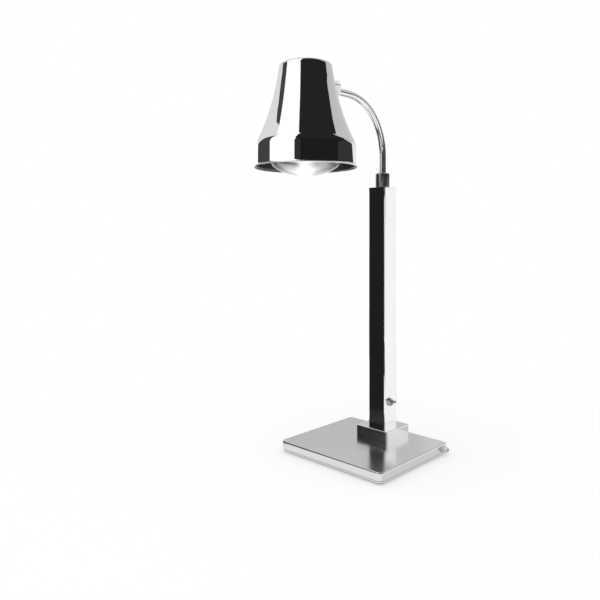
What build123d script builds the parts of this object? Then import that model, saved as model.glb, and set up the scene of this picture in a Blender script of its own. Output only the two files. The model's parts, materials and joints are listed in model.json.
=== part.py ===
from build123d import *
import math
import os

# A free-standing food heat lamp: base, plinth, square post, bent arm, swivel and bell shade with its bulb.
# Millimetres, +Z up. The parts are modelled about the post's axis, with the floor at z = 0 and the arm
# reaching towards -Y. The finished lamp is then moved, so that the origin is in the middle of its plan.

# Base
BASE_W = 230.0
BASE_D = 207.0
BASE_BACK = 45.0  # post axis to the back edge
BASE_CORNER = 10.0
COVER_T = 1.5
COVER_BEND = 2.5
COVER_HEM = 0.7  # rounding of the flange's lower edge
FLANGE_H = 14.0
BAND_H = 5.0  # tray wall that shows below the cover
TRAY_T = 1.5
TRAY_BEND = 2.0
TRAY_HEADROOM = 2.0  # tray wall's top edge to the cover's underside
LAP_GAP = 0.3  # between the tray wall and the cover's flange
FOOT_H = 2.0
FOOT_R = 8.0
FOOT_INSET = 16.0
FOOT_STEM_R = 2.5
FOOT_BARB_R = 3.6
FOOT_BARB_H = 2.0
STANDOFF_R = 4.0
STANDOFF_INSET_X = 25.0
STANDOFF_INSET_Y = 32.0
TRAY_SCREW_R = 1.9
TRAY_SCREW_HEAD_R = 3.5
TRAY_SCREW_HEAD_H = 1.5
TRAY_SCREW_L = 9.0

# Cable gland in the base's +X wall
GLAND_INSET = 16.5  # from the base's back edge
GLAND_Z = 12.5
GLAND_R = 5.8
GLAND_OUT = 9.5  # beyond the base's side
GLAND_NOSE_R = 3.7
GLAND_COLLAR_OUT = 3.0  # collar beyond the base's side
GLAND_GROOVE_W = 1.0
GLAND_GROOVE_D = 0.8
GLAND_STEM_R = 4.0
GLAND_STEM_L = 10.0  # inwards from the tray wall's outer face
GLAND_BORE_R = 3.0
GLAND_NUT_AF = 10.4
GLAND_NUT_H = 4.0

# Terminal block on the tray
BLOCK_X = 45.0
BLOCK_W = 36.0
BLOCK_D = 18.0
BLOCK_H = 12.0
BLOCK_STEP = 3.0
POLES = 3
POLE_PITCH = 10.0
POLE_SCREW_R = 2.0
POLE_SCREW_H = 6.0

# Plinth and post
PLINTH_W = 72.0
PLINTH_H = 18.5
PLINTH_T = 1.5
PLINTH_CORNER = 3.0
PLINTH_BEND = 2.0
POST_W = 38.0
POST_T = 1.5
POST_CORNER = 2.0
POST_L = 451.5
CAP_T = 2.0
CAP_PLUG_H = 6.0
FOOT_BLOCK_H = 16.0
WIRE_HOLE_R = 6.5
BOLT_PITCH = 22.0
BOLT_R = 2.9
BOLT_HEAD_AF = 10.0
BOLT_HEAD_H = 4.0
BOLT_IN = 13.0  # length in the foot block
SPACER_R = 5.0

# Toggle switch on the post's +X side
SWITCH_UP = 46.5  # above the post's lower end
SWITCH_Y = -3.0
SWITCH_W = 13.0
SWITCH_H = 24.0
SWITCH_DEEP = 21.0
PLATE_T = 1.0
TAB_W = 6.0
TAB_T = 0.8
TAB_L = 8.0
TAB_PITCH = 12.0
BUSHING_R = 5.9
BUSHING_OUT = 5.0  # beyond the post's face
BUSHING_BORE_R = 3.6
BUSHING_MOUTH_R = 4.6
SWITCH_WASHER_R = 7.6
SWITCH_WASHER_T = 0.8
SWITCH_NUT_AF = 14.0
SWITCH_NUT_H = 2.5
LEVER_REST = 12.0  # degrees above level
LEVER_OUT = 15.0  # tip from the post's face
LEVER_BALL_R = 3.2
LEVER_NECK_R = 1.8
LEVER_TIP_R = 2.5
LEVER_TAIL = 7.0  # behind the pivot
PIVOT_IN = 0.5  # pivot behind the post's outer face
PIN_R = 0.8

# Arm and its ferrule
ARM_R = 6.5
ARM_WALL = 1.5
ARM_BEND = 100.0
ARM_STRAIGHT = 34.0  # ferrule's top to the bend
ARM_GROOVE_W = 4.6
ARM_GROOVE_D = 0.6
FERRULE_R = 13.2
FERRULE_H = 28.0
FERRULE_NECK_R = 10.8
FERRULE_CHAMFER = 2.0
FERRULE_SHOULDER = 1.2
NIPPLE_R = 9.0
NIPPLE_L = 15.0
LEDGE_H = 2.0
LOCKNUT_AF = 26.0
LOCKNUT_H = 5.5
SET_SCREW_R = 2.0
SET_SCREW_UP = 8.0

# Swivel at the arm's end
SWIVEL_REACH = 141.5  # post axis to swivel axis
BARREL_R = 11.0
BARREL_H = 15.5
BARREL_ROUND = 0.8
BARREL_CAVITY_R = 6.0
BARREL_TOP_T = 2.0
TUBE_STOP = 0.8  # tube's end to the barrel's cavity
PLUG_T = 1.5
PIVOT_R = 4.0
PIVOT_BORE_R = 3.0
PIVOT_FLANGE_R = 5.6
PIVOT_FLANGE_T = 1.2
SEAM_T = 1.2
SEAM_INSET = 0.6
DOME_T = 1.7
DOME_FLOOR_T = 2.0
DOME_SKIRT = 1.0
NECK_UP = 3.5  # neck axis above the dome's inner floor
NECK_R = 5.0
NECK_BORE_R = 3.0
NECK_COLLAR_R = 8.0
NECK_COLLAR_T = 3.0
NECK_IN = 8.5  # neck's end inside the shade's wall
NECK_NUT_AF = 14.0
NECK_NUT_H = 4.0

# Shade
SHADE_OFFSET = 73.5  # swivel axis to shade axis
SHADE_H = 172.0
SHADE_T = 1.2
NECK_DROP = 16.1  # neck's hole below the crown
CROWN_R = 44.7
CROWN_ROUND = 6.0
FLARE_BOW = 5.1
SHOULDER_R = 80.2
SHOULDER_Z = 45.0
SHOULDER_BOW = 1.0
BAND_R = 83.4
BAND_TOP = 33.0
BAND_BOTTOM = 4.0
LIP_R = 85.8
BEAD_R = 0.95

# Lampholder, screwed to the underside of the crown
HOLDER_R = 24.0
HOLDER_BASE_H = 18.0
HOLDER_MOUTH_R = 20.5
HOLDER_H = 38.0
HOLDER_CEILING = 10.0
HOLDER_ROUND = 2.0
SLEEVE_R = 14.4
SLEEVE_T = 0.6
SLEEVE_H = 26.0
CONTACT_R = 4.5
CONTACT_H = 4.1
HOLDER_SCREW_X = 16.5
HOLDER_SCREW_R = 1.9
HOLDER_SCREW_IN = 6.0
HOLDER_SCREW_HEAD_R = 3.8
HOLDER_SCREW_HEAD_H = 2.4

# Bulb
BULB_R = 62.5
BULB_FACE_R = 48.5
BULB_FACE_Z = 14.0
BULB_EQUATOR_Z = 37.0
BULB_NECK_RUN = 34.0  # height of the curve from the back into the neck
BULB_NECK_R = 18.0
BULB_NECK_END = 1.0  # straight end of the neck, below the cap
BULB_GLASS_T = 1.2
BULB_L = 172.0
BULB_CAP_L = 29.0
BULB_CAP_R = 13.2
BULB_CAP_T = 0.8
BULB_CAP_TAPER = 5.0
BULB_TIP_H = 1.0
BULB_TIP_R = 6.0
STEM_R = 7.0
STEM_L = 46.0
FILAMENT_W = 34.0
FILAMENT_R = 0.9
FILAMENT_DROP = 18.0
FILAMENT_BEND = 4.0

# Internal leads
LEAD_R = 1.8
LEAD_BEND = 6.0
RISER_BEND = 14.0

# Clearances
SEAT = 0.3  # a loose piece to its seat
FIT = 0.1  # a fixed round piece in its hole
RUN = 0.05  # a turning round piece in its hole
TOUCH = 0.05  # a head or a foot to the face that it bears on
CUT = 1.0  # a cutter past the face that it opens

# Levels and places worked out from the sizes above
TRAY_Z = FOOT_H
FLANGE_Z = FOOT_H + BAND_H
COVER_TOP = FLANGE_Z + FLANGE_H
COVER_UNDER = COVER_TOP - COVER_T
TRAY_FLOOR = TRAY_Z + TRAY_T
TRAY_TOP = COVER_UNDER - TRAY_HEADROOM
BASE_Y = BASE_BACK - BASE_D / 2
TRAY_INSET = COVER_T + LAP_GAP
BASE_SIDE = BASE_W / 2
TRAY_SIDE = BASE_SIDE - TRAY_INSET
POST_Z = COVER_TOP + PLINTH_H
POST_INNER = POST_W - 2 * POST_T
POST_END = POST_Z + POST_L
POST_TOP = POST_END + CAP_T
FACE_X = POST_W / 2
SWITCH_Z = POST_Z + SWITCH_UP
NIPPLE_Z = POST_END - NIPPLE_L
LEDGE_Z = NIPPLE_Z + LEDGE_H
FERRULE_TOP = POST_TOP + FERRULE_H
BEND_Z = FERRULE_TOP + ARM_STRAIGHT
ARM_Z = BEND_Z + ARM_BEND
ARM_BORE_R = ARM_R - ARM_WALL
BARREL_Z = ARM_Z - BARREL_H / 2
BARREL_TOP = ARM_Z + BARREL_H / 2
TUBE_END = SWIVEL_REACH - BARREL_CAVITY_R - TUBE_STOP
DOME_Z = BARREL_TOP + SEAM_T
DOME_FLOOR = DOME_Z + DOME_FLOOR_T
NECK_Z = DOME_FLOOR + NECK_UP
SHADE_Y = -(SWIVEL_REACH + SHADE_OFFSET)
SHADE_HOLE_UP = SHADE_H - NECK_DROP
RIM_Z = NECK_Z - SHADE_HOLE_UP
CROWN_UNDER = RIM_Z + SHADE_H - SHADE_T
HOLDER_ROOF = CROWN_UNDER - HOLDER_CEILING
BULB_TIP_Z = HOLDER_ROOF - CONTACT_H - SEAT
BULB_Z = BULB_TIP_Z - BULB_L
BULB_CAP_Z = BULB_L - BULB_CAP_L
BULB_NECK_Z = BULB_CAP_Z - BULB_NECK_END
BULB_TURN_Z = BULB_NECK_Z - BULB_NECK_RUN
RISER_X = -(POST_INNER / 2 - LEAD_R - SEAT)
GLAND_Y = BASE_BACK - GLAND_INSET
GLAND_END = BASE_SIDE + GLAND_OUT
BEAD_CENTRE_R = LIP_R - SHADE_T / 2
LAMP_FRONT = SHADE_Y - BEAD_CENTRE_R - BEAD_R
TO_MIDDLE = Pos((BASE_SIDE - GLAND_END) / 2, -(LAMP_FRONT + BASE_BACK) / 2, 0)


def upright(radius, low, high, x=0.0, y=0.0):
    """Upright cylinder between two levels."""
    return Pos(x, y, (low + high) / 2) * Cylinder(radius, high - low)


def lying_x(radius, start, end, y, z):
    """Cylinder along X."""
    return Pos((start + end) / 2, y, z) * Rot(0, 90, 0) * Cylinder(radius, end - start)


def lying_y(radius, start, end, x, z):
    """Cylinder along Y."""
    return Pos(x, (start + end) / 2, z) * Rot(90, 0, 90) * Cylinder(radius, end - start)


def hex_prism(across, height):
    """Hexagonal prism standing on z = 0, by its width across flats."""
    return extrude(RegularPolygon(across / 2, 6, major_radius=False), height)


def block(width, depth, low, high, corner=0.0, x=0.0, y=0.0):
    """Upright block between two levels, its upright edges rounded if asked."""
    outline = RectangleRounded(width, depth, corner) if corner else Rectangle(width, depth)
    return Pos(x, y, low) * extrude(outline, high - low)


def bow_point(start, end, bow):
    """Middle of an arc from start to end that bows to the left of the way from start to end."""
    run = (end[0] - start[0], end[1] - start[1])
    length = math.hypot(*run)
    middle = ((start[0] + end[0]) / 2, (start[1] + end[1]) / 2)
    return (middle[0] - run[1] / length * bow, middle[1] + run[0] / length * bow)


def upright_bow(start, end):
    """Bow of an arc between two points that is upright at one of them."""
    lean = math.atan2(abs(end[0] - start[0]), abs(end[1] - start[1]))
    return math.dist(start, end) / 2 * math.tan(lean / 2)


def bowed(start, end, bow):
    """Arc in the XZ plane between two (radius, height) points."""
    points = (start, bow_point(start, end, bow), end)
    return ThreePointArc(*[(r, 0, z) for r, z in points])


def straight(*points):
    """Line through (radius, height) points in the XZ plane."""
    return Polyline(*[(r, 0, z) for r, z in points])


def turned(*edges):
    """Solid of revolution about Z of a closed outline in the XZ plane."""
    return revolve(make_face(Curve() + list(edges)), Axis.Z)


def lathe(*points):
    """Solid of revolution of a closed outline of straight lines."""
    return turned(straight(*points, points[0]))


def folded_box(width, depth, corner, low, high, sheet, bend, y=0.0):
    """Sheet box that is open below, with rounded corners and a bent top edge."""
    outer = block(width, depth, low, high, corner, y=y)
    outer = fillet(outer.faces().sort_by(Axis.Z)[-1].edges(), bend)
    inner = block(width - 2 * sheet, depth - 2 * sheet, low - CUT, high - sheet, corner - sheet, y=y)
    inner = fillet(inner.faces().sort_by(Axis.Z)[-1].edges(), bend - sheet)
    return outer - inner


def four(inset_x, inset_y):
    """The four places near the base's corners."""
    half_w = BASE_SIDE - inset_x
    half_d = BASE_D / 2 - inset_y
    return [(sx * half_w, BASE_Y + sy * half_d) for sx in (-1, 1) for sy in (-1, 1)]


def foot_places():
    return four(FOOT_INSET, FOOT_INSET)


def screw_places():
    return four(STANDOFF_INSET_X, STANDOFF_INSET_Y)


def bolt_places():
    half = BOLT_PITCH / 2
    return [(sx * half, sy * half) for sx in (-1, 1) for sy in (-1, 1)]


def post_fixings(low, high, radius):
    """Cutters for the post's bolts and its wire hole."""
    holes = [upright(radius, low, high, x, y) for x, y in bolt_places()]
    return holes + [upright(WIRE_HOLE_R, low, high)]


def wire(points, radii, thick):
    """Round wire along straight runs joined by arcs."""
    path = FilletPolyline(*points, radius=radii)
    return sweep(Plane(points[0], z_dir=path % 0) * Circle(thick), path=path)


# Base
def along_gland(radius, start, end):
    """Cylinder on the gland's axis."""
    return lying_x(radius, start, end, GLAND_Y, GLAND_Z)


def base_cover():
    cover = folded_box(BASE_W, BASE_D, BASE_CORNER, FLANGE_Z, COVER_TOP, COVER_T, COVER_BEND, BASE_Y)
    cover = fillet(cover.faces().sort_by(Axis.Z)[0].outer_wire().edges(), COVER_HEM)
    cover -= post_fixings(COVER_UNDER - CUT, COVER_TOP + CUT, BOLT_R + FIT)
    notch_r = GLAND_R + SEAT
    start, end = TRAY_SIDE - CUT, BASE_SIDE + CUT
    notch = along_gland(notch_r, start, end)
    slot = block(end - start, 2 * notch_r, FLANGE_Z - CUT, GLAND_Z, x=(start + end) / 2, y=GLAND_Y)
    return cover - notch - slot


def base_tray():
    width, depth = BASE_W - 2 * TRAY_INSET, BASE_D - 2 * TRAY_INSET
    corner = BASE_CORNER - TRAY_INSET
    outer = block(width, depth, TRAY_Z, TRAY_TOP, corner, y=BASE_Y)
    outer = fillet(outer.faces().sort_by(Axis.Z)[0].edges(), TRAY_BEND)
    width, depth, corner = width - 2 * TRAY_T, depth - 2 * TRAY_T, corner - TRAY_T
    inner = block(width, depth, TRAY_FLOOR, TRAY_TOP + CUT, corner, y=BASE_Y)
    inner = fillet(inner.faces().sort_by(Axis.Z)[0].edges(), TRAY_BEND - TRAY_T)
    tray = outer - inner
    low, high = TRAY_Z - CUT, TRAY_FLOOR + CUT
    tray -= [upright(FOOT_STEM_R + FIT, low, high, x, y) for x, y in foot_places()]
    tray -= [upright(TRAY_SCREW_R + FIT, low, high, x, y) for x, y in screw_places()]
    return tray - along_gland(GLAND_STEM_R + FIT, TRAY_SIDE - TRAY_T - CUT, TRAY_SIDE + CUT)


def rubber_feet():
    top = TRAY_FLOOR + FIT
    foot = lathe(
        (0, 0),
        (FOOT_R - FOOT_H / 2, 0),
        (FOOT_R, FOOT_H - TOUCH),
        (FOOT_STEM_R, FOOT_H - TOUCH),
        (FOOT_STEM_R, top),
        (FOOT_BARB_R, top),
        (FOOT_STEM_R, top + FOOT_BARB_H),
        (0, top + FOOT_BARB_H),
    )
    return Compound(children=[Pos(x, y, 0) * foot for x, y in foot_places()])


def cover_standoffs():
    well_end = TRAY_Z + TRAY_SCREW_L + FIT
    standoff = upright(STANDOFF_R, TRAY_FLOOR, COVER_UNDER)
    standoff -= upright(TRAY_SCREW_R + FIT, TRAY_FLOOR - CUT, well_end)
    return Compound(children=[Pos(x, y, 0) * standoff for x, y in screw_places()])


def tray_screws():
    bearing = TRAY_Z - TOUCH
    head = upright(TRAY_SCREW_HEAD_R, bearing - TRAY_SCREW_HEAD_H, bearing)
    screw = head + upright(TRAY_SCREW_R, bearing, TRAY_Z + TRAY_SCREW_L)
    return Compound(children=[Pos(x, y, 0) * screw for x, y in screw_places()])


def cable_gland():
    """Collar on the tray's wall, a groove and a domed nose, with a stem through the wall."""
    groove = BASE_SIDE + GLAND_COLLAR_OUT
    shoulder = (GLAND_R, groove + GLAND_GROOVE_W)
    nose = (GLAND_NOSE_R, GLAND_END)
    waist_r = GLAND_R - GLAND_GROOVE_D
    head = turned(
        straight((0, TRAY_SIDE), (GLAND_R, TRAY_SIDE), (GLAND_R, groove), (waist_r, groove)),
        straight((waist_r, groove), (waist_r, shoulder[1]), shoulder),
        bowed(shoulder, nose, -upright_bow(shoulder, nose)),
        straight(nose, (0, GLAND_END), (0, TRAY_SIDE)),
    )
    head = Pos(0, GLAND_Y, GLAND_Z) * Rot(0, 90, 0) * head
    inner_end = TRAY_SIDE - GLAND_STEM_L
    stem = along_gland(GLAND_STEM_R, inner_end, TRAY_SIDE)
    return head + stem - along_gland(GLAND_BORE_R, inner_end - CUT, GLAND_END + CUT)


def gland_nut():
    inside = TRAY_SIDE - TRAY_T
    start = inside - GLAND_NUT_H
    nut = Pos(start, GLAND_Y, GLAND_Z) * Rot(0, 90, 0) * hex_prism(GLAND_NUT_AF, GLAND_NUT_H)
    return nut - along_gland(GLAND_STEM_R + FIT, start - CUT, inside + CUT)


def pole_places():
    return [(BLOCK_X, (i - (POLES - 1) / 2) * POLE_PITCH) for i in range(POLES)]


def terminal_block():
    length = POLES * POLE_PITCH + BLOCK_STEP
    body = block(BLOCK_D, length, TRAY_FLOOR, TRAY_FLOOR + BLOCK_H, x=BLOCK_X)
    ledge = block(BLOCK_W, length, TRAY_FLOOR, TRAY_FLOOR + BLOCK_H - BLOCK_STEP, x=BLOCK_X)
    top = TRAY_FLOOR + BLOCK_H
    wells = [upright(POLE_SCREW_R + FIT, top - POLE_SCREW_H, top + CUT, x, y) for x, y in pole_places()]
    return body + ledge - wells


def terminal_screws():
    top = TRAY_FLOOR + BLOCK_H
    return Compound(children=[upright(POLE_SCREW_R, top - POLE_SCREW_H, top, x, y) for x, y in pole_places()])


# Plinth and post
def plinth():
    box = folded_box(PLINTH_W, PLINTH_W, PLINTH_CORNER, COVER_TOP, POST_Z, PLINTH_T, PLINTH_BEND)
    return box - post_fixings(POST_Z - PLINTH_T - CUT, POST_Z + CUT, BOLT_R + FIT)


def plinth_spacers():
    top = POST_Z - PLINTH_T
    sleeve = upright(SPACER_R, COVER_TOP, top) - upright(BOLT_R + FIT, COVER_TOP - CUT, top + CUT)
    return Compound(children=[Pos(x, y, 0) * sleeve for x, y in bolt_places()])


def post_bolts():
    bearing = COVER_UNDER - TOUCH
    head = Pos(0, 0, bearing - BOLT_HEAD_H) * hex_prism(BOLT_HEAD_AF, BOLT_HEAD_H)
    bolt = head + upright(BOLT_R, bearing, POST_Z + BOLT_IN)
    return Compound(children=[Pos(x, y, 0) * bolt for x, y in bolt_places()])


def post_foot():
    width = POST_INNER - 2 * FIT
    foot = block(width, width, POST_Z, POST_Z + FOOT_BLOCK_H, POST_CORNER)
    holes = [upright(BOLT_R + FIT, POST_Z - CUT, POST_Z + BOLT_IN + FIT, x, y) for x, y in bolt_places()]
    return foot - holes - upright(WIRE_HOLE_R, POST_Z - CUT, POST_Z + FOOT_BLOCK_H + CUT)


def post():
    tube = block(POST_W, POST_W, POST_Z, POST_END, POST_CORNER)
    tube -= block(POST_INNER, POST_INNER, POST_Z - CUT, POST_END + CUT, POST_CORNER - POST_T)
    return tube - lying_x(BUSHING_R + FIT, POST_INNER / 2 - CUT, FACE_X + CUT, SWITCH_Y, SWITCH_Z)


def post_cap():
    width = POST_INNER - 2 * FIT
    cap = block(POST_W, POST_W, POST_END, POST_TOP, POST_CORNER)
    plug = block(width, width, POST_END - CAP_PLUG_H, POST_END, POST_CORNER)
    return cap + plug - upright(NIPPLE_R + FIT, POST_END - CAP_PLUG_H - CUT, POST_TOP + CUT)


# Toggle switch
def switch_body():
    front = POST_INNER / 2 - PLATE_T
    back = POST_INNER / 2 - SWITCH_DEEP
    low, high = SWITCH_Z - SWITCH_H / 2, SWITCH_Z + SWITCH_H / 2
    case = block(front - back, SWITCH_W, low, high, x=(front + back) / 2, y=SWITCH_Y)
    return case - lever_space()


def switch_bushing():
    front = POST_INNER / 2
    low, high = SWITCH_Z - SWITCH_H / 2, SWITCH_Z + SWITCH_H / 2
    plate = block(PLATE_T, SWITCH_W, low, high, x=front - PLATE_T / 2, y=SWITCH_Y)
    plate += lying_x(BUSHING_R, front, FACE_X + BUSHING_OUT, SWITCH_Y, SWITCH_Z)
    pivot_x = FACE_X - PIVOT_IN
    mouth = Cone(BUSHING_BORE_R, BUSHING_MOUTH_R, BUSHING_OUT + PIVOT_IN)
    plate -= Pos(pivot_x + (BUSHING_OUT + PIVOT_IN) / 2, SWITCH_Y, SWITCH_Z) * Rot(0, 90, 0) * mouth
    return plate - lever_space() - lever_pin_hole()


def switch_terminals():
    back = POST_INNER / 2 - SWITCH_DEEP
    tabs = []
    for side in (-1, 1):
        z = SWITCH_Z + side * TAB_PITCH / 2
        tabs.append(block(TAB_L, TAB_W, z - TAB_T / 2, z + TAB_T / 2, x=back - TAB_L / 2, y=SWITCH_Y))
    return Compound(children=tabs)


def lever_space():
    """Room for the lever's tail behind its pivot."""
    pivot_x = FACE_X - PIVOT_IN
    return lying_x(BUSHING_BORE_R, pivot_x - LEVER_TAIL - CUT, pivot_x, SWITCH_Y, SWITCH_Z)


def lever_pin_hole():
    reach = BUSHING_R + CUT
    return lying_y(PIN_R + RUN, SWITCH_Y - reach, SWITCH_Y + reach, FACE_X - PIVOT_IN, SWITCH_Z)


def toggle_pin():
    return lying_y(PIN_R, SWITCH_Y - BUSHING_R, SWITCH_Y + BUSHING_R, FACE_X - PIVOT_IN, SWITCH_Z)


def toggle_lever():
    length = LEVER_OUT + PIVOT_IN
    tip = LEVER_TIP_R
    bat = turned(
        straight((0, -LEVER_TAIL), (LEVER_NECK_R, -LEVER_TAIL)),
        straight((LEVER_NECK_R, -LEVER_TAIL), (LEVER_NECK_R, 0), (tip, length - tip)),
        bowed((tip, length - tip), (0, length), -tip * (1 - math.sqrt(0.5))),
        straight((0, length), (0, -LEVER_TAIL)),
    )
    bat += Sphere(LEVER_BALL_R)
    bat = Pos(FACE_X - PIVOT_IN, SWITCH_Y, SWITCH_Z) * Rot(0, 90 - LEVER_REST, 0) * bat
    return bat - lever_pin_hole()


def switch_washer():
    end = FACE_X + SWITCH_WASHER_T
    ring = lying_x(SWITCH_WASHER_R, FACE_X, end, SWITCH_Y, SWITCH_Z)
    return ring - lying_x(BUSHING_R + FIT, FACE_X - CUT, end + CUT, SWITCH_Y, SWITCH_Z)


def switch_nut():
    start = FACE_X + SWITCH_WASHER_T
    nut = Pos(start, SWITCH_Y, SWITCH_Z) * Rot(0, 90, 0) * hex_prism(SWITCH_NUT_AF, SWITCH_NUT_H)
    return nut - lying_x(BUSHING_R + FIT, start - CUT, start + SWITCH_NUT_H + CUT, SWITCH_Y, SWITCH_Z)


# Arm
def arm_ferrule():
    waist = FERRULE_R - FERRULE_SHOULDER
    body = lathe(
        (0, NIPPLE_Z),
        (NIPPLE_R, NIPPLE_Z),
        (NIPPLE_R, POST_TOP),
        (waist, POST_TOP),
        (FERRULE_R, POST_TOP + FERRULE_SHOULDER),
        (FERRULE_R, FERRULE_TOP - FERRULE_CHAMFER),
        (FERRULE_NECK_R, FERRULE_TOP),
        (0, FERRULE_TOP),
    )
    body -= upright(ARM_R + RUN, LEDGE_Z, FERRULE_TOP + CUT)
    body -= upright(ARM_BORE_R, NIPPLE_Z - CUT, LEDGE_Z + CUT)
    return body - lying_y(SET_SCREW_R + FIT, 0, FERRULE_R + CUT, 0, POST_TOP + SET_SCREW_UP)


def arm_set_screw():
    start = ARM_R - ARM_GROOVE_D + SEAT
    return lying_y(SET_SCREW_R, start, FERRULE_R - FERRULE_SHOULDER, 0, POST_TOP + SET_SCREW_UP)


def ferrule_locknut():
    top = POST_END - CAP_PLUG_H
    nut = Pos(0, 0, top - LOCKNUT_H) * hex_prism(LOCKNUT_AF, LOCKNUT_H)
    return nut - upright(NIPPLE_R + FIT, top - LOCKNUT_H - CUT, top + CUT)


def arm_path(inset, low, reach):
    """Arm's line, or one that is inset towards the inside of its bend, from a level to a reach along -Y."""
    radius = ARM_BEND - inset
    middle = radius * math.sqrt(0.5)
    rise = Line((0, -inset, low), (0, -inset, BEND_Z))
    bend_points = ((-inset, BEND_Z), (middle - ARM_BEND, BEND_Z + middle), (-ARM_BEND, BEND_Z + radius))
    bend = ThreePointArc(*[(0, y, z) for y, z in bend_points])
    run = Line((0, -ARM_BEND, BEND_Z + radius), (0, -reach, BEND_Z + radius))
    return Curve() + [rise, bend, run]


def arm_tube():
    start = LEDGE_Z + SEAT
    path = arm_path(0, start, TUBE_END)
    section = Pos(0, 0, start) * (Circle(ARM_R) - Circle(ARM_BORE_R))
    tube = sweep(section, path=path)
    groove_z = POST_TOP + SET_SCREW_UP
    low, high = groove_z - ARM_GROOVE_W / 2, groove_z + ARM_GROOVE_W / 2
    return tube - (upright(ARM_R + CUT, low, high) - upright(ARM_R - ARM_GROOVE_D, low, high))


def arm_lead():
    inset = ARM_BORE_R - LEAD_R - SEAT
    start = LEDGE_Z + SEAT
    return sweep(Pos(0, -inset, start) * Circle(LEAD_R), path=arm_path(inset, start, TUBE_END))


# Swivel
def swivel_barrel():
    barrel = upright(BARREL_R, BARREL_Z, BARREL_TOP, y=-SWIVEL_REACH)
    barrel = fillet(barrel.edges().filter_by(GeomType.CIRCLE), BARREL_ROUND)
    barrel -= upright(BARREL_CAVITY_R, BARREL_Z - CUT, BARREL_TOP - BARREL_TOP_T, y=-SWIVEL_REACH)
    barrel -= upright(PIVOT_R + RUN, BARREL_Z, BARREL_TOP + CUT, y=-SWIVEL_REACH)
    deep, outside = BARREL_CAVITY_R - CUT, BARREL_R + CUT
    return barrel - lying_y(ARM_R + FIT, deep - SWIVEL_REACH, outside - SWIVEL_REACH, 0, ARM_Z)


def swivel_plug():
    return upright(BARREL_CAVITY_R - FIT, BARREL_Z, BARREL_Z + PLUG_T, y=-SWIVEL_REACH)


def swivel_washer():
    ring = upright(BARREL_R - SEAM_INSET, BARREL_TOP, DOME_Z - TOUCH, y=-SWIVEL_REACH)
    return ring - upright(PIVOT_R + SEAT, BARREL_TOP - CUT, DOME_Z + CUT, y=-SWIVEL_REACH)


def swivel_pivot():
    flange_top = BARREL_TOP - BARREL_TOP_T - SEAT
    low = flange_top - PIVOT_FLANGE_T
    stud = upright(PIVOT_R, flange_top, DOME_FLOOR) + upright(PIVOT_FLANGE_R, low, flange_top)
    stud -= upright(PIVOT_BORE_R, low - CUT, DOME_FLOOR + CUT)
    return Pos(0, -SWIVEL_REACH, 0) * stud


def swivel_dome():
    spring = DOME_Z + DOME_SKIRT
    ball = BARREL_R
    outer = turned(
        straight((0, DOME_Z), (ball, DOME_Z), (ball, spring)),
        bowed((ball, spring), (0, spring + ball), -ball * (1 - math.sqrt(0.5))),
        straight((0, spring + ball), (0, DOME_Z)),
    )
    hollow = Pos(0, 0, spring) * Sphere(BARREL_R - DOME_T)
    hollow -= block(4 * ball, 4 * ball, spring - 2 * ball, DOME_FLOOR)
    wall_y = shade_wall_y()
    neck = lying_y(NECK_R, wall_y - NECK_IN, 0, 0, NECK_Z)
    collar = lying_y(NECK_COLLAR_R, wall_y + SEAT, wall_y + SEAT + NECK_COLLAR_T, 0, NECK_Z)
    dome = outer + neck + fillet(collar.edges(), NECK_COLLAR_T / 3)
    dome = dome - hollow - upright(PIVOT_R + FIT, DOME_Z - CUT, DOME_FLOOR + CUT)
    dome -= lying_y(NECK_BORE_R, wall_y - NECK_IN - CUT, 0, 0, NECK_Z)
    return Pos(0, -SWIVEL_REACH, 0) * dome


def shade_wall_y():
    """Shade's outer face at the neck's hole, along Y from the swivel axis."""
    return -(SHADE_OFFSET - flare_radius(SHADE_HOLE_UP - NECK_COLLAR_R))


def neck_nut():
    corner = NECK_NUT_AF / math.sqrt(3)
    inner_r = flare_radius(SHADE_HOLE_UP + corner) - SHADE_T
    face_y = SHADE_Y + math.sqrt(inner_r**2 - corner**2) - SEAT
    nut = Pos(0, face_y, NECK_Z) * Rot(90, 0, 0) * hex_prism(NECK_NUT_AF, NECK_NUT_H)
    return nut - lying_y(NECK_R + FIT, face_y - NECK_NUT_H - CUT, face_y + CUT, 0, NECK_Z)


# Shade
def flare_ends(inset):
    return (CROWN_R - inset, SHADE_H - CROWN_ROUND), (SHOULDER_R - inset, SHOULDER_Z)


def flare_radius(height):
    """Shade's outer radius on its flare at a height above the rim."""
    start, end = flare_ends(0)
    middle = bow_point(start, end, -FLARE_BOW)
    chord = math.dist(start, end)
    radius = (chord**2 / 4 + FLARE_BOW**2) / (2 * FLARE_BOW)
    chord_middle = ((start[0] + end[0]) / 2, (start[1] + end[1]) / 2)
    inward = [(m - c) / FLARE_BOW for m, c in zip(middle, chord_middle)]
    centre = [m - n * radius for m, n in zip(middle, inward)]
    return centre[0] - math.sqrt(radius**2 - (height - centre[1]) ** 2)


def shade_form(inset, foot):
    """Solid of the shade's outline, inset by the sheet for its inside, down to a level below the band."""
    top = SHADE_H - inset
    crown, shoulder = flare_ends(inset)
    flat_r = CROWN_R - CROWN_ROUND
    band = (BAND_R - inset, BAND_TOP)
    band_end = (BAND_R - inset, BAND_BOTTOM)
    lip = (LIP_R - inset, BEAD_R)
    return turned(
        straight((0, top), (flat_r, top)),
        bowed((flat_r, top), crown, CROWN_ROUND * (1 - math.sqrt(0.5))),
        bowed(crown, shoulder, -FLARE_BOW),
        bowed(shoulder, band, SHOULDER_BOW),
        straight(band, band_end),
        bowed(band_end, lip, -upright_bow(band_end, lip)),
        straight(lip, (lip[0], foot), (0, foot), (0, top)),
    )


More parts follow.
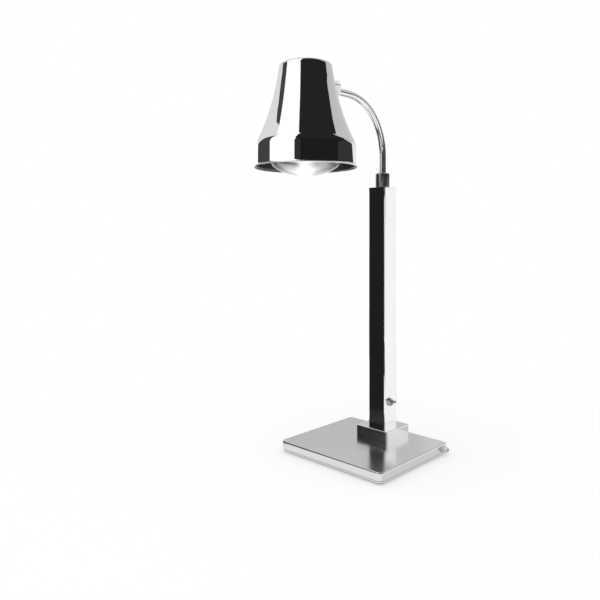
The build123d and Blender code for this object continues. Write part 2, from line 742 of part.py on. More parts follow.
def shade():
    shell = shade_form(0, BEAD_R / 2) - shade_form(SHADE_T, -CUT)
    shell += Pos(0, 0, BEAD_R) * Torus(BEAD_CENTRE_R, BEAD_R)
    hole = lying_y(NECK_R + FIT, 0, CROWN_R + SHADE_OFFSET, 0, SHADE_HOLE_UP)
    for side in (-1, 1):
        x = side * HOLDER_SCREW_X
        hole += upright(HOLDER_SCREW_R + FIT, SHADE_H - SHADE_T - CUT, SHADE_H + CUT, x)
    return Pos(0, SHADE_Y, RIM_Z) * (shell - hole)


# Lampholder
def lampholder():
    mouth = CROWN_UNDER - HOLDER_H
    step = CROWN_UNDER - HOLDER_BASE_H
    body = lathe(
        (0, mouth),
        (HOLDER_MOUTH_R, mouth),
        (HOLDER_R, step),
        (HOLDER_R, CROWN_UNDER),
        (0, CROWN_UNDER),
    )
    body = fillet(body.edges().filter_by(GeomType.CIRCLE).sort_by(Axis.Z)[0], HOLDER_ROUND)
    body -= upright(SLEEVE_R + FIT, mouth - CUT, HOLDER_ROOF)
    for side in (-1, 1):
        x = side * HOLDER_SCREW_X
        body -= upright(HOLDER_SCREW_R + FIT, CROWN_UNDER - HOLDER_SCREW_IN - FIT, CROWN_UNDER + CUT, x)
    body -= lying_y(LEAD_R + SEAT, HOLDER_R - lead_depth(), HOLDER_R + CUT, 0, NECK_Z)
    return Pos(0, SHADE_Y, 0) * body


def lead_depth():
    """How far the lead goes into the lampholder's side."""
    return (HOLDER_R - SLEEVE_R) / 2


def holder_sleeve():
    low = HOLDER_ROOF - SLEEVE_H
    ring = upright(SLEEVE_R, low, HOLDER_ROOF)
    ring -= upright(SLEEVE_R - SLEEVE_T, low - CUT, HOLDER_ROOF + CUT)
    return Pos(0, SHADE_Y, 0) * ring


def holder_contact():
    low = HOLDER_ROOF - CONTACT_H
    spring = lathe((0, low), (CONTACT_R / 2, low), (CONTACT_R, HOLDER_ROOF), (0, HOLDER_ROOF))
    return Pos(0, SHADE_Y, 0) * spring


def holder_screws():
    top = RIM_Z + SHADE_H
    head = upright(HOLDER_SCREW_HEAD_R, top, top + HOLDER_SCREW_HEAD_H)
    head = fillet(head.faces().sort_by(Axis.Z)[-1].edges(), HOLDER_SCREW_HEAD_H / 2)
    screw = head + upright(HOLDER_SCREW_R, CROWN_UNDER - HOLDER_SCREW_IN, top)
    return Compound(children=[Pos(side * HOLDER_SCREW_X, SHADE_Y, 0) * screw for side in (-1, 1)])


# Bulb
def face_bow():
    """Bow of half the face, so that the whole face is one arc with its lowest point on the axis."""
    radius = (BULB_FACE_R**2 + BULB_FACE_Z**2) / (2 * BULB_FACE_Z)
    half_chord = math.hypot(BULB_FACE_R, BULB_FACE_Z) / 2
    return radius - math.sqrt(radius**2 - half_chord**2)


def bulb_form(inset, top):
    """Solid of the reflector bulb's outline, from its face to a level in its neck."""
    bottom = (0, inset)
    face = (BULB_FACE_R, BULB_FACE_Z + inset)
    equator = (BULB_R - inset, BULB_EQUATOR_Z)
    neck = (BULB_NECK_R - inset, BULB_NECK_Z)
    share = (BULB_TURN_Z - BULB_EQUATOR_Z) / (BULB_NECK_Z - BULB_EQUATOR_Z)
    turn = (equator[0] + share * (neck[0] - equator[0]), BULB_TURN_Z)
    return turned(
        bowed(bottom, face, -face_bow()),
        bowed(face, equator, -upright_bow(face, equator)),
        bowed(equator, turn, -upright_bow(equator, turn)),
        bowed(turn, neck, upright_bow(turn, neck)),
        straight(neck, (neck[0], top), (0, top), bottom),
    )


def bulb_glass():
    glass = bulb_form(0, BULB_CAP_Z) - bulb_form(BULB_GLASS_T, BULB_CAP_Z + CUT)
    return Pos(0, SHADE_Y, BULB_Z) * glass


def bulb_cap():
    shoulder = BULB_L - BULB_CAP_TAPER
    cap = lathe(
        (0, BULB_CAP_Z),
        (BULB_NECK_R, BULB_CAP_Z),
        (BULB_CAP_R, BULB_CAP_Z + BULB_NECK_R - BULB_CAP_R),
        (BULB_CAP_R, shoulder),
        (BULB_TIP_R, BULB_L - BULB_TIP_H),
        (BULB_TIP_R - BULB_TIP_H, BULB_L),
        (0, BULB_L),
    )
    cap -= upright(BULB_CAP_R - BULB_CAP_T, BULB_CAP_Z - CUT, shoulder)
    return Pos(0, SHADE_Y, BULB_Z) * cap


def bulb_stem():
    top = BULB_L - BULB_CAP_TAPER
    return Pos(0, SHADE_Y, BULB_Z) * upright(STEM_R, top - STEM_L, top)


def bulb_filament():
    high = BULB_L - BULB_CAP_TAPER - STEM_L - FILAMENT_R
    low = high - FILAMENT_DROP
    feet = STEM_R / 2
    half = FILAMENT_W / 2
    points = [(-feet, 0, high), (-half, 0, low), (half, 0, low), (feet, 0, high)]
    return Pos(0, SHADE_Y, BULB_Z) * wire(points, [FILAMENT_BEND] * 2, FILAMENT_R)


# Internal leads
def supply_lead():
    level = TRAY_FLOOR + BLOCK_H / 2
    start_x = BLOCK_X - BLOCK_W / 2 - SEAT
    turn_z = POST_Z + FOOT_BLOCK_H + LEAD_BEND
    join_z = SWITCH_Z - SWITCH_H / 2
    points = [
        (start_x, 0, level),
        (0, 0, level),
        (0, 0, turn_z),
        (RISER_X, SWITCH_Y, join_z),
        (RISER_X, SWITCH_Y, SWITCH_Z - TAB_PITCH / 2 + LEAD_R),
    ]
    return wire(points, [LEAD_BEND] * 3, LEAD_R)


def riser_lead():
    inset = ARM_BORE_R - LEAD_R - SEAT
    end = LEDGE_Z
    points = [
        (RISER_X, SWITCH_Y, SWITCH_Z + TAB_PITCH / 2 - LEAD_R),
        (RISER_X, SWITCH_Y, NIPPLE_Z - 3 * RISER_BEND),
        (0, -inset, NIPPLE_Z - RISER_BEND),
        (0, -inset, end),
    ]
    return wire(points, [RISER_BEND] * 2, LEAD_R)


def shade_lead():
    points = [
        (0, -SWIVEL_REACH, ARM_Z),
        (0, -SWIVEL_REACH, NECK_Z),
        (0, SHADE_Y + HOLDER_R - lead_depth() + SEAT, NECK_Z),
    ]
    return wire(points, [LEAD_BEND], LEAD_R)


PIECES = [
    base_cover,
    base_tray,
    rubber_feet,
    cover_standoffs,
    tray_screws,
    cable_gland,
    gland_nut,
    terminal_block,
    terminal_screws,
    plinth,
    plinth_spacers,
    post_bolts,
    post_foot,
    post,
    post_cap,
    switch_body,
    switch_bushing,
    switch_terminals,
    toggle_pin,
    toggle_lever,
    switch_washer,
    switch_nut,
    arm_ferrule,
    arm_set_screw,
    ferrule_locknut,
    arm_tube,
    arm_lead,
    swivel_barrel,
    swivel_plug,
    swivel_washer,
    swivel_pivot,
    swivel_dome,
    neck_nut,
    shade,
    lampholder,
    holder_sleeve,
    holder_contact,
    holder_screws,
    bulb_glass,
    bulb_cap,
    bulb_stem,
    bulb_filament,
    supply_lead,
    riser_lead,
    shade_lead,
]

os.makedirs("parts", exist_ok=True)
for piece in PIECES:
    export_step(TO_MIDDLE * piece(), f"parts/{piece.__name__}.step")
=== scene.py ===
import json
import math

import bpy
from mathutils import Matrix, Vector


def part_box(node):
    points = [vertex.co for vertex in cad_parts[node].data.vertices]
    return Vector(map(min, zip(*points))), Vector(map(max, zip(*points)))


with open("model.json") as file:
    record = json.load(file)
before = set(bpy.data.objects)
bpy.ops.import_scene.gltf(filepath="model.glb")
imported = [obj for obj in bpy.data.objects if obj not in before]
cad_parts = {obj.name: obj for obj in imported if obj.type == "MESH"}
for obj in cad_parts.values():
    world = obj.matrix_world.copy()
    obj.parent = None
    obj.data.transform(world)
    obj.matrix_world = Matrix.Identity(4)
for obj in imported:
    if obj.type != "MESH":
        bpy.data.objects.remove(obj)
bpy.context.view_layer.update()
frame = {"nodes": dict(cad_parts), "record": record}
nodes = frame["nodes"]
record = frame["record"]


def middle(node):
    """Middle of a node's box."""
    low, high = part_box(node)
    return (Vector(low) + Vector(high)) / 2


def grey(tone):
    return (tone, tone, tone)


# Camera, in metres and degrees
VIEW_AZIMUTH = 44.0
EYE_FROM_POST = Vector((0.6863, -0.9391, 0.0))
EYE_HEIGHT = 0.3984
LENS_MM = 36.0
SENSOR_MM = 36.0
HORIZON_SHIFT = -0.1048
FARTHEST_SEEN = 50.0

# Places that the stage is set about
POST = middle("post")
HEAD_HEIGHT = 0.53
HEAD = Vector((middle("shade").x, middle("shade").y, HEAD_HEIGHT))

scene = bpy.context.scene
scene.view_settings.view_transform = "Standard"


def aim(azimuth, elevation):
    """Direction from two angles in degrees, with azimuth 0 towards the camera and positive to its right."""
    turn = math.radians(VIEW_AZIMUTH)
    towards = Vector((math.sin(turn), -math.cos(turn), 0.0))
    right = Vector((math.cos(turn), math.sin(turn), 0.0))
    a, e = math.radians(azimuth), math.radians(elevation)
    flat = towards * math.cos(a) + right * math.sin(a)
    return flat * math.cos(e) + Vector((0.0, 0.0, math.sin(e)))


def make_camera():
    data = bpy.data.cameras.new("photo_camera")
    data.lens = LENS_MM
    data.sensor_width = SENSOR_MM
    data.shift_y = HORIZON_SHIFT
    data.clip_end = FARTHEST_SEEN
    camera = bpy.data.objects.new("photo_camera", data)
    camera.location = POST + EYE_FROM_POST
    camera.location.z = EYE_HEIGHT
    camera.rotation_euler = (math.radians(90.0), 0.0, math.radians(VIEW_AZIMUTH))
    scene.collection.objects.link(camera)
    scene.camera = camera


# Node helpers
def feed(tree, source, target):
    """Links an output to an input, or sets the input to a constant."""
    if isinstance(source, bpy.types.NodeSocket):
        tree.links.new(source, target)
    else:
        target.default_value = source


def new_material(name):
    material = bpy.data.materials.new(name)
    material.use_nodes = True
    tree = material.node_tree
    return material, tree, tree.nodes["Principled BSDF"]


def coords(tree, kind="Object"):
    return tree.nodes.new("ShaderNodeTexCoord").outputs[kind]


def axis(tree, vector, name):
    """One of the three numbers of a vector."""
    node = tree.nodes.new("ShaderNodeSeparateXYZ")
    feed(tree, vector, node.inputs["Vector"])
    return node.outputs[name]


def combine(tree, operation, first, second):
    """Sum, product or such of two values."""
    node = tree.nodes.new("ShaderNodeMath")
    node.operation = operation
    feed(tree, first, node.inputs[0])
    feed(tree, second, node.inputs[1])
    return node.outputs["Value"]


def vector_math(tree, operation, *sources):
    node = tree.nodes.new("ShaderNodeVectorMath")
    node.operation = operation
    for source, target in zip(sources, node.inputs):
        feed(tree, source, target)
    return node.outputs["Value" if operation in ("LENGTH", "DOT_PRODUCT") else "Vector"]


def mix(tree, factor, first, second, kind="RGBA"):
    """Colour or, with kind FLOAT, value between two others."""
    node = tree.nodes.new("ShaderNodeMix")
    node.data_type = kind
    feed(tree, factor, node.inputs["Factor"])
    feed(tree, first, node.inputs["A"])
    feed(tree, second, node.inputs["B"])
    return node.outputs["Result"]


def blend(tree, value, dark, light):
    """Colour between two tones by a value."""
    return mix(tree, value, (*dark, 1.0), (*light, 1.0))


# Where most of a noise lies
NOISE_START = 0.3
NOISE_END = 0.7


def spread(tree, value, low, high, start=NOISE_START, end=NOISE_END):
    """Goes from low to high as a value goes from start to end, and no further."""
    node = tree.nodes.new("ShaderNodeMapRange")
    node.inputs["From Min"].default_value = start
    node.inputs["From Max"].default_value = end
    node.inputs["To Min"].default_value = low
    node.inputs["To Max"].default_value = high
    feed(tree, value, node.inputs["Value"])
    return node.outputs["Result"]


def height_over(tree, node):
    """Height of a point over a node's lowest one."""
    return combine(tree, "SUBTRACT", axis(tree, coords(tree), "Z"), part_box(node)[0][2])


# How close a noise is packed along X, Y and Z
EVEN = (1.0, 1.0, 1.0)
LEVEL_GRAIN = (1.0, 1.0, 12.0)
TOOL_RINGS = (1.0, 1.0, 40.0)
BRUSHED_ALONG_X = (1.0, 60.0, 60.0)
COILED_ALONG_X = (1.0, 8.0, 8.0)


def noise(tree, scale, detail=4.0, uneven=0.5, packed=EVEN):
    mapping = tree.nodes.new("ShaderNodeMapping")
    mapping.inputs["Scale"].default_value = packed
    feed(tree, coords(tree), mapping.inputs["Vector"])
    node = tree.nodes.new("ShaderNodeTexNoise")
    node.inputs["Scale"].default_value = scale
    node.inputs["Detail"].default_value = detail
    node.inputs["Roughness"].default_value = uneven
    feed(tree, mapping.outputs["Vector"], node.inputs["Vector"])
    return node.outputs["Fac"]


def bump(tree, shader, height, strength, depth):
    node = tree.nodes.new("ShaderNodeBump")
    node.inputs["Strength"].default_value = strength
    node.inputs["Distance"].default_value = depth
    feed(tree, height, node.inputs["Height"])
    feed(tree, node.outputs["Normal"], shader.inputs["Normal"])


# Finishes whose colour, roughness and bump all follow one noise. Each has its noise, its dark and light
# colour, its least and most roughness, the strength of its bump with its depth in metres, and the shader's
# sockets that are the same all over.
METAL = {"Metallic": 1.0}
FINISHES = {
    "drawn_steel": dict(
        scale=60.0, dark=(0.84, 0.845, 0.85), light=(0.92, 0.922, 0.925), rough=(0.08, 0.13),
        fixed={"Metallic": 0.95}),
    # Turned steel's low colour is painted shade: it darkens what the ferrule mirrors
    "turned_steel": dict(
        scale=80.0, packed=TOOL_RINGS, dark=(0.31, 0.312, 0.315), light=(0.39, 0.392, 0.395),
        rough=(0.16, 0.24), fixed=METAL),
    "satin_chrome": dict(
        scale=700.0, detail=3.0, uneven=0.6, dark=(0.92, 0.922, 0.924), light=grey(0.97),
        rough=(0.34, 0.46), relief=(0.04, 0.0002), fixed={"Metallic": 0.12}),
    "zinc_steel": dict(
        scale=260.0, detail=2.0, dark=(0.52, 0.53, 0.55), light=(0.7, 0.71, 0.73), rough=(0.22, 0.4),
        fixed=METAL),
    "nickel": dict(
        scale=120.0, dark=grey(0.6), light=grey(0.78), rough=(0.16, 0.28), relief=(0.03, 0.0002),
        fixed={"Metallic": 0.85}),
    "brass": dict(
        scale=90.0, detail=5.0, dark=(0.5, 0.35, 0.13), light=(0.8, 0.62, 0.3), rough=(0.18, 0.4),
        fixed=METAL),
    "tungsten": dict(
        scale=300.0, detail=2.0, packed=COILED_ALONG_X, dark=(0.2, 0.19, 0.18), light=(0.45, 0.42, 0.38),
        rough=(0.35, 0.55), fixed=METAL),
    "porcelain": dict(
        scale=60.0, detail=3.0, dark=(0.8, 0.79, 0.75), light=(0.9, 0.89, 0.86), rough=(0.12, 0.22),
        fixed={"Coat Weight": 0.5, "Coat Roughness": 0.08}),
    "clear_glass": dict(
        scale=80.0, detail=2.0, dark=(0.9, 0.93, 0.92), light=(0.97, 0.98, 0.98), rough=(0.02, 0.08),
        fixed={"Transmission Weight": 1.0, "IOR": 1.47}),
    "black_rubber": dict(
        scale=300.0, uneven=0.6, dark=grey(0.015), light=grey(0.05), rough=(0.62, 0.78),
        relief=(0.15, 0.0004)),
    "grey_nylon": dict(
        scale=400.0, uneven=0.6, dark=grey(0.56), light=grey(0.66), rough=(0.42, 0.58),
        relief=(0.15, 0.0003)),
    "black_nylon": dict(
        scale=400.0, uneven=0.6, dark=grey(0.02), light=grey(0.06), rough=(0.42, 0.58),
        relief=(0.15, 0.0003)),
    "black_phenolic": dict(
        scale=200.0, uneven=0.6, dark=(0.02, 0.017, 0.015), light=(0.05, 0.045, 0.04), rough=(0.27, 0.43),
        relief=(0.15, 0.0002)),
    "terminal_plastic": dict(
        scale=200.0, uneven=0.6, dark=(0.7, 0.69, 0.65), light=(0.85, 0.84, 0.8), rough=(0.37, 0.53),
        relief=(0.15, 0.0002)),
    "silicone": dict(
        scale=200.0, uneven=0.6, dark=(0.6, 0.57, 0.52), light=(0.76, 0.73, 0.67), rough=(0.52, 0.68),
        relief=(0.15, 0.0003)),
}


def plain_finish(name, dark, light, rough, relief=None, fixed=None, **texture):
    material, tree, shader = new_material(name)
    for socket, value in (fixed or {}).items():
        shader.inputs[socket].default_value = value
    skin = noise(tree, **texture)
    feed(tree, blend(tree, skin, dark, light), shader.inputs["Base Color"])
    feed(tree, spread(tree, skin, *rough), shader.inputs["Roughness"])
    if relief:
        bump(tree, shader, skin, *relief)
    return material


# Sheet steel. Colours are dark and light, and roughness is least and most.
POLISHED = ((0.86, 0.865, 0.87), (0.93, 0.932, 0.935))
POLISHED_ROUGH = (0.015, 0.05)
SMUDGES = dict(scale=14.0, detail=5.0, uneven=0.6)
# Painted shade: the colour of the lampshade's inside
INSIDE_PAINTED_SHADE = (grey(0.1), grey(0.15))
SHADE_INSIDE_ROUGH = (0.2, 0.3)
SHADE_INSIDE_METALLIC = 0.7
SATIN = ((0.71, 0.713, 0.716), (0.8, 0.803, 0.806))
SATIN_ROUGH = (0.16, 0.22)
BRUSH_LINES = dict(scale=22.0, detail=6.0, uneven=0.65, packed=BRUSHED_ALONG_X)
TRAY = ((0.79, 0.792, 0.795), (0.87, 0.872, 0.875))
# Painted shade of the tray, under the cover's edge and along its lower bend
TRAY_PAINTED_SHADE = (grey(0.2), grey(0.26))
TRAY_ROUGH = (0.16, 0.24)

# Where the tray's painted shade begins to fade and is gone, in metres under the cover's edge and over the
# tray's bottom
UPPER_PAINTED_SHADE_REACH = (0.0013, 0.0018)
LOWER_PAINTED_SHADE_REACH = (0.0014, 0.0018)


def polished_steel():
    """Mirror with faint smudges and a fine level grain."""
    material, tree, shader = new_material("polished_steel")
    shader.inputs["Metallic"].default_value = 1.0
    smudge = noise(tree, **SMUDGES)
    feed(tree, blend(tree, smudge, *POLISHED), shader.inputs["Base Color"])
    feed(tree, spread(tree, smudge, *POLISHED_ROUGH), shader.inputs["Roughness"])
    grain = noise(tree, scale=900.0, detail=2.0, packed=LEVEL_GRAIN)
    bump(tree, shader, grain, strength=0.02, depth=0.0002)
    return material


def shade_steel():
    """Polished outside; duller inside, and darker there as painted shade. The inside's normals point to the
    shade's axis.
    """
    material, tree, shader = new_material("shade_steel")
    away = vector_math(tree, "MULTIPLY_ADD", coords(tree), (1.0, 1.0, 0.0), (-HEAD.x, -HEAD.y, 0.0))
    facing = vector_math(tree, "DOT_PRODUCT", away, coords(tree, "Normal"))
    outside = spread(tree, facing, 0.0, 1.0, start=-0.004, end=0.0)
    metallic = spread(tree, outside, SHADE_INSIDE_METALLIC, 1.0, start=0.0, end=1.0)
    feed(tree, metallic, shader.inputs["Metallic"])
    smudge = noise(tree, **SMUDGES)
    # Painted shade darkens the inside's colour
    colour = mix(tree, outside, blend(tree, smudge, *INSIDE_PAINTED_SHADE), blend(tree, smudge, *POLISHED))
    feed(tree, colour, shader.inputs["Base Color"])
    dull = spread(tree, smudge, *SHADE_INSIDE_ROUGH)
    polish = mix(tree, outside, dull, spread(tree, smudge, *POLISHED_ROUGH), "FLOAT")
    feed(tree, polish, shader.inputs["Roughness"])
    return material


def satin_steel():
    """Brush lines along X, with roughness in soft clouds."""
    material, tree, shader = new_material("satin_steel")
    shader.inputs["Metallic"].default_value = 1.0
    lines = noise(tree, **BRUSH_LINES)
    cloud = noise(tree, scale=9.0)
    feed(tree, blend(tree, lines, *SATIN), shader.inputs["Base Color"])
    feed(tree, spread(tree, cloud, *SATIN_ROUGH), shader.inputs["Roughness"])
    bump(tree, shader, lines, strength=0.03, depth=0.0003)
    return material


def tray_steel():
    """Satin sheet with painted shade: it darkens under the cover's edge and along its own lower bend."""
    material, tree, shader = new_material("tray_steel")
    shader.inputs["Metallic"].default_value = 1.0
    below_seam = combine(tree, "SUBTRACT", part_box("base_cover")[0][2], axis(tree, coords(tree), "Z"))
    upper = spread(tree, below_seam, 1.0, 0.0, *UPPER_PAINTED_SHADE_REACH)
    lower = spread(tree, height_over(tree, "base_tray"), 1.0, 0.0, *LOWER_PAINTED_SHADE_REACH)
    # Painted shade under the cover's edge and along the tray's lower bend
    painted_edge_shade = combine(tree, "MAXIMUM", upper, lower)
    lines = noise(tree, **BRUSH_LINES)
    colour = mix(tree, painted_edge_shade, blend(tree, lines, *TRAY), blend(tree, lines, *TRAY_PAINTED_SHADE))
    feed(tree, colour, shader.inputs["Base Color"])
    feed(tree, spread(tree, lines, *TRAY_ROUGH), shader.inputs["Roughness"])
    return material


# The lit bulb. Heights are over its lowest point and widths from the glow's middle, both in metres, and each
# pair says where a change starts and ends. The glow is stretched along its own axes, after a turn in degrees
# like the camera's, so its long patch is the lit bulb's glow and also a painted highlight. The face's colour
# darkens beside the glow as painted shade.
BULB_LIGHT = ((0.84, 0.84, 0.83), (0.94, 0.94, 0.93))
# Painted shade of the frosted face, beside the glow
BULB_PAINTED_SHADE = (grey(0.16), grey(0.24))
BULB_ROUGH = (0.14, 0.24)
SILVER_HEIGHT = (0.036, 0.042)
PAINTED_SHADE_HEIGHT = (0.003, 0.014)
PAINTED_SHADE_WIDTH = (0.006, 0.048)
GLOW_HEIGHT = (0.002, 0.012)
GLOW_WIDTH = (0.007, 0.021)
GLOW_TURN = 44.0
GLOW_STRETCH = (1.0, 4.0, 50.0)
GLOW_COLOUR = (1.0, 0.98, 0.95, 1.0)
FACE_METALLIC = 0.65
LOWEST_PAINTED_SHADE = 0.25
LOWEST_GLOW = 0.28
PATCH_GLOW_AND_HIGHLIGHT = 0.65
FACE_GLOW = 0.03


def bulb_glass():
    """Frosted face under a silvered back. Its colour darkens beside the glow as painted shade, and it glows
    in a long patch, partly a painted highlight, and at its lowest part.
    """
    material, tree, shader = new_material("bulb_glass")
    height = height_over(tree, "bulb_glass")
    along = tree.nodes.new("ShaderNodeMapping")
    along.vector_type = "TEXTURE"
    along.inputs["Location"].default_value = middle("bulb_glass")
    along.inputs["Rotation"].default_value = (0.0, 0.0, math.radians(GLOW_TURN))
    along.inputs["Scale"].default_value = GLOW_STRETCH
    feed(tree, coords(tree), along.inputs["Vector"])
    width = vector_math(tree, "LENGTH", along.outputs["Vector"])
    feed(tree, spread(tree, height, FACE_METALLIC, 1.0, *SILVER_HEIGHT), shader.inputs["Metallic"])

    frost = noise(tree, scale=420.0, uneven=0.7)
    # Painted shade: the face's colour darkens away from the glow, less so at its lowest point
    beside = spread(tree, width, 0.0, 1.0, *PAINTED_SHADE_WIDTH)
    above = spread(tree, height, LOWEST_PAINTED_SHADE, 1.0, *PAINTED_SHADE_HEIGHT)
    painted_side_shade = combine(tree, "MULTIPLY", beside, above)
    colour = mix(tree, painted_side_shade, blend(tree, frost, *BULB_LIGHT), blend(tree, frost, *BULB_PAINTED_SHADE))
    feed(tree, colour, shader.inputs["Base Color"])
    feed(tree, spread(tree, frost, *BULB_ROUGH), shader.inputs["Roughness"])

    # Lit bulb's glow in a long patch turned like the camera, which also stands in for a highlight: partly
    # painted highlight
    glow_and_painted_highlight = spread(tree, width, PATCH_GLOW_AND_HIGHLIGHT, FACE_GLOW, *GLOW_WIDTH)
    lowest = spread(tree, height, LOWEST_GLOW, 0.0, *GLOW_HEIGHT)
    feed(tree, combine(tree, "MAXIMUM", glow_and_painted_highlight, lowest), shader.inputs["Emission Strength"])
    shader.inputs["Emission Color"].default_value = GLOW_COLOUR
    bump(tree, shader, frost, strength=0.08, depth=0.0002)
    return material


# Finishes with a function of their own, and nodes whose finish isn't their slot's
MAKERS = {
    "polished_steel": polished_steel,
    "shade_steel": shade_steel,
    "satin_steel": satin_steel,
    "tray_steel": tray_steel,
    "bulb_glass": bulb_glass,
}
OWN_FINISH = {
    "shade": "shade_steel",
    "arm_tube": "drawn_steel",
    "arm_ferrule": "turned_steel",
    "base_tray": "tray_steel",
}


def paint():
    made = {}
    for part in record["subparts"]:
        node = part["node"]
        name = OWN_FINISH.get(node, part["material_slot"])
        if name not in made:
            made[name] = MAKERS[name]() if name in MAKERS else plain_finish(name, **FINISHES[name])
        for holder in nodes[node].material_slots:
            holder.material = made[name]


# Levels of the studio's white: overhead and from left to right in mirrors, and for the light that it gives
OVERHEAD_LEVEL = 0.62
LEFT_LEVEL = 1.28
MIDDLE_LEVEL = 1.12
RIGHT_SHARE = 0.74
LIGHT_LEVEL = 0.9


def mirror_rays(tree, path):
    """1 for mirror and glass rays, 0 for others."""
    return combine(tree, "MAXIMUM", path.outputs["Is Glossy Ray"], path.outputs["Is Transmission Ray"])


def make_world():
    """White studio that falls to grey overhead and to the right in mirrors."""
    world = bpy.data.worlds.new("studio")
    scene.world = world
    world.use_nodes = True
    tree = world.node_tree
    way = coords(tree, "Generated")
    overhead = spread(tree, axis(tree, way, "Z"), 1.0, OVERHEAD_LEVEL, start=0.1, end=0.32)
    side = vector_math(tree, "DOT_PRODUCT", way, aim(90.0, 0.0))
    left = spread(tree, side, LEFT_LEVEL, MIDDLE_LEVEL, start=-0.9, end=0.1)
    right = spread(tree, side, 1.0, RIGHT_SHARE, start=0.1, end=0.95)
    level = combine(tree, "MULTIPLY", left, right)
    mirrored = combine(tree, "MULTIPLY", overhead, level)
    path = tree.nodes.new("ShaderNodeLightPath")
    light = mix(tree, mirror_rays(tree, path), LIGHT_LEVEL, mirrored, "FLOAT")
    shown = mix(tree, path.outputs["Is Camera Ray"], light, 1.0, "FLOAT")
    feed(tree, shown, tree.nodes["Background"].inputs["Color"])


# Floor, in metres. Each white is the share of plain white over the floor's own shaded surface, near the lamp
# and at the base's edge, and it grows to 1 between the two distances below it.
FLOOR_REACH = 12.0
FLOOR_TONES = (grey(0.93), grey(0.95))
FLOOR_ROUGH = 0.9
NEAR_WHITE = 0.55
WHITE_FROM = 0.2
WHITE_TO = 0.75
CONTACT_WHITE = 0.78
CONTACT_FROM = 0.005
CONTACT_TO = 0.009


def beyond_base(tree):
    """How far a point of the floor lies outside the base's box."""
    low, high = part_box("base_tray")
    half = (Vector(high) - Vector(low)) / 2
    offset = vector_math(tree, "SUBTRACT", coords(tree), middle("base_tray"))
    beyond = vector_math(tree, "SUBTRACT", vector_math(tree, "ABSOLUTE", offset), half)
    return combine(tree, "MAXIMUM", axis(tree, beyond, "X"), axis(tree, beyond, "Y"))


def make_floor():
    """Pale floor that keeps the lamp's shadow, most of all close to the base, and fades into the studio."""
    mesh = bpy.data.meshes.new("floor")
    far = FLOOR_REACH
    corners = [(-far, -far, 0), (far, -far, 0), (far, far, 0), (-far, far, 0)]
    mesh.from_pydata(corners, [], [(0, 1, 2, 3)])
    floor = bpy.data.objects.new("floor", mesh)
    scene.collection.objects.link(floor)
    material, tree, shader = new_material("floor")
    tone = noise(tree, scale=30.0, detail=2.0)
    feed(tree, blend(tree, tone, *FLOOR_TONES), shader.inputs["Base Color"])
    shader.inputs["Roughness"].default_value = FLOOR_ROUGH
    shader.inputs["Specular IOR Level"].default_value = 0.0

    path = tree.nodes.new("ShaderNodeLightPath")
    seen = combine(tree, "MAXIMUM", path.outputs["Is Camera Ray"], mirror_rays(tree, path))
    away = vector_math(tree, "LENGTH", coords(tree))
    fade = combine(tree, "MULTIPLY", seen, spread(tree, away, NEAR_WHITE, 1.0, WHITE_FROM, WHITE_TO))
    contact = spread(tree, beyond_base(tree), CONTACT_WHITE, 1.0, CONTACT_FROM, CONTACT_TO)
    white = tree.nodes.new("ShaderNodeEmission")
    surface = tree.nodes.new("ShaderNodeMixShader")
    feed(tree, combine(tree, "MULTIPLY", fade, contact), surface.inputs["Fac"])
    feed(tree, shader.outputs["BSDF"], surface.inputs[1])
    feed(tree, white.outputs["Emission"], surface.inputs[2])
    feed(tree, surface.outputs["Shader"], tree.nodes["Material Output"].inputs["Surface"])
    mesh.materials.append(material)


# Studio flags that only mirrors see, in metres and degrees as aim takes them. Those over the floor lie one of
# two gaps over it, so that they don't meet where they overlap.
CARD_DISTANCE = 1.0
CARD_STEPS = 12
FLOOR_STEPS = 24
GAP = 0.0015
SMALL_GAP = 0.001

# Curved flags round the lamp's head: name, tone, and rows of an elevation with the azimuths of its two ends
CARDS = (
    ("flag_left", 0.055, (
        (5.8, -136, -84.6), (9, -134, -84.6), (17, -126.5, -85), (31, -115, -87), (36, -105, -86),
        (40, -97.5, -85.5), (44, -86, -85))),
    ("flag_left_low", 0.014, ((-35, -140, -48), (5.8, -140, -48))),
    ("flag_back_left", 0.07, ((1.5, -196, -140), (4.9, -196, -140))),
    ("grey_back", 0.58, ((-22, 157, 200), (-10, 157, 200))),
    ("flag_between", 0.13, ((1.5, -48, -24.4), (5.8, -48, -24.4))),
    ("white_panel", 1.15, (
        (5.8, -84.6, -24.4), (10, -84.6, -24.4), (20, -85, -21.5), (31, -87, -23.5), (40, -85.5, -22.8),
        (66, -85, -20.9))),
    ("white_right", 1.0, ((-29, 92, 118), (1.6, 92, 118))),
    ("flag_front_edge", 0.032, ((1.8, -24.4, -11.5), (10, -24.4, -11.5), (20, -21.5, -21))),
    ("flag_front_low", 0.04, ((1.74, -11.5, 74), (4.5, -11.5, 74))),
    ("flag_front", 0.012, ((4.5, -11.5, 74), (10, -11.5, 74), (14.7, -16, 90), (20, -21.5, 104))),
    ("flag_front_high", 0.017, (
        (20, -21.5, 104), (31, -23.5, 98), (36, -23.5, 93), (44, -22, 90), (84, -20, 88))),
    ("flag_right", 0.034, (
        (1.74, 74, 136), (6.2, 74, 133), (10, 74, 124), (14.7, 90, 110), (20, 104, 105))),
    ("flag_low_front", 0.1, ((-4, 20, 86), (1.74, 20, 86))),
    ("flag_low_left", 0.07, ((-29, -12, 23), (-4, -12, 23))),
    ("flag_low_gap", 0.04, ((0.7, -11.5, 20), (1.74, -11.5, 20))),
)

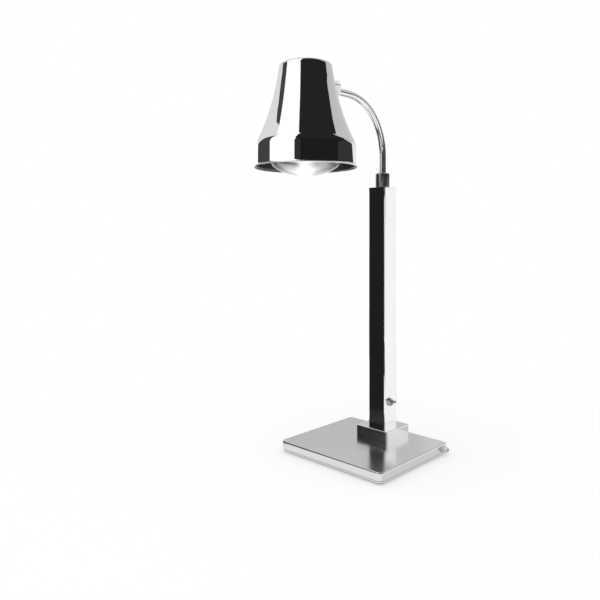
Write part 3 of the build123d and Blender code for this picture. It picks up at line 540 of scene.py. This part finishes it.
# Flags over the floor: name, tone, what they go round, two azimuths, nearest and farthest distance, and gap
FLOOR_CARDS = (
    ("flag_floor_left", 0.014, POST, (-104, -64), (0.24, 1.3), GAP),
    ("flag_floor_front", 0.14, HEAD, (-100, 27), (0.42, 1.0), SMALL_GAP),
    ("flag_floor_side", 0.5, HEAD, (27, 80), (0.45, 0.8), SMALL_GAP),
    ("flag_floor_far", 0.42, HEAD, (119, 150), (0.5, 1.2), GAP),
    ("flag_floor_deep", 0.38, HEAD, (150, 178), (0.5, 1.7), GAP),
    ("flag_floor_deep_left", 0.33, HEAD, (178, 232), (0.85, 2.2), GAP),
)

# The base's edges, and flags over the floor beside it: name, tone, and where they start and end along X and Y
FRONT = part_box("base_cover")[0][1]
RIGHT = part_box("base_cover")[1][0]
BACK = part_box("base_cover")[1][1]
FLOOR_PATCHES = (
    ("flag_floor_right", 0.76, (RIGHT + 0.002, RIGHT + 0.06), (FRONT, BACK + 0.045)),
    ("flag_floor_back", 0.6, (POST.x + 0.06, POST.x + 0.108), (BACK + 0.002, BACK + 0.09)),
)


def flag(name, tone, points, faces):
    """Studio flag that only mirrors see."""
    mesh = bpy.data.meshes.new(name)
    mesh.from_pydata(points, [], faces)
    obj = bpy.data.objects.new(name, mesh)
    scene.collection.objects.link(obj)
    material = bpy.data.materials.new(name)
    material.use_nodes = True
    tree = material.node_tree
    glow = tree.nodes.new("ShaderNodeEmission")
    glow.inputs["Color"].default_value = (*grey(tone), 1.0)
    feed(tree, glow.outputs["Emission"], tree.nodes["Material Output"].inputs["Surface"])
    mesh.materials.append(material)
    obj.visible_camera = False
    obj.visible_diffuse = False
    obj.visible_transmission = False
    obj.visible_shadow = False


def card(name, tone, rows):
    """Curved flag round the lamp's head."""
    points = []
    for (e0, left0, right0), (e1, left1, right1) in zip(rows, rows[1:]):
        for j in range(CARD_STEPS + 1):
            t = j / CARD_STEPS
            left, right = left0 + (left1 - left0) * t, right0 + (right1 - right0) * t
            for i in range(CARD_STEPS + 1):
                azimuth = left + (right - left) * i / CARD_STEPS
                points.append(HEAD + aim(azimuth, e0 + (e1 - e0) * t) * CARD_DISTANCE)
    row = CARD_STEPS + 1
    faces = []
    for j in range(len(points) // row - 1):
        for i in range(CARD_STEPS):
            k = j * row + i
            faces.append((k, k + 1, k + row + 1, k + row))
    flag(name, tone, points, faces)


def floor_card(name, tone, place, azimuths, distances, gap):
    """Flat flag over the floor, part of a ring round a place."""
    centre = Vector((place.x, place.y, gap))
    first, last = azimuths
    points = []
    for i in range(FLOOR_STEPS + 1):
        way = aim(first + (last - first) * i / FLOOR_STEPS, 0.0)
        points += [centre + way * distance for distance in distances]
    faces = [(2 * i, 2 * i + 1, 2 * i + 3, 2 * i + 2) for i in range(FLOOR_STEPS)]
    flag(name, tone, points, faces)


def floor_patch(name, tone, x, y):
    """Flat flag over the floor, between two places along X and Y."""
    points = [(x[0], y[0], GAP), (x[1], y[0], GAP), (x[1], y[1], GAP), (x[0], y[1], GAP)]
    flag(name, tone, points, [(0, 1, 2, 3)])


def make_flags():
    for row in CARDS:
        card(*row)
    for row in FLOOR_CARDS:
        floor_card(*row)
    for row in FLOOR_PATCHES:
        floor_patch(*row)


# Soft light over the lamp's head, in metres, watts and degrees
KEY_SIZE = 1.6
KEY_POWER = 14.0
KEY_AZIMUTH = -40
KEY_ELEVATION = 62
KEY_DISTANCE = 2.2


def make_key():
    data = bpy.data.lights.new("key", "AREA")
    data.shape = "DISK"
    data.size = KEY_SIZE
    data.energy = KEY_POWER
    key = bpy.data.objects.new("key", data)
    key.location = HEAD + aim(KEY_AZIMUTH, KEY_ELEVATION) * KEY_DISTANCE
    key.rotation_euler = (HEAD - key.location).to_track_quat("-Z", "Y").to_euler()
    key.visible_glossy = False
    scene.collection.objects.link(key)


make_camera()
paint()
make_world()
make_floor()
make_flags()
make_key()
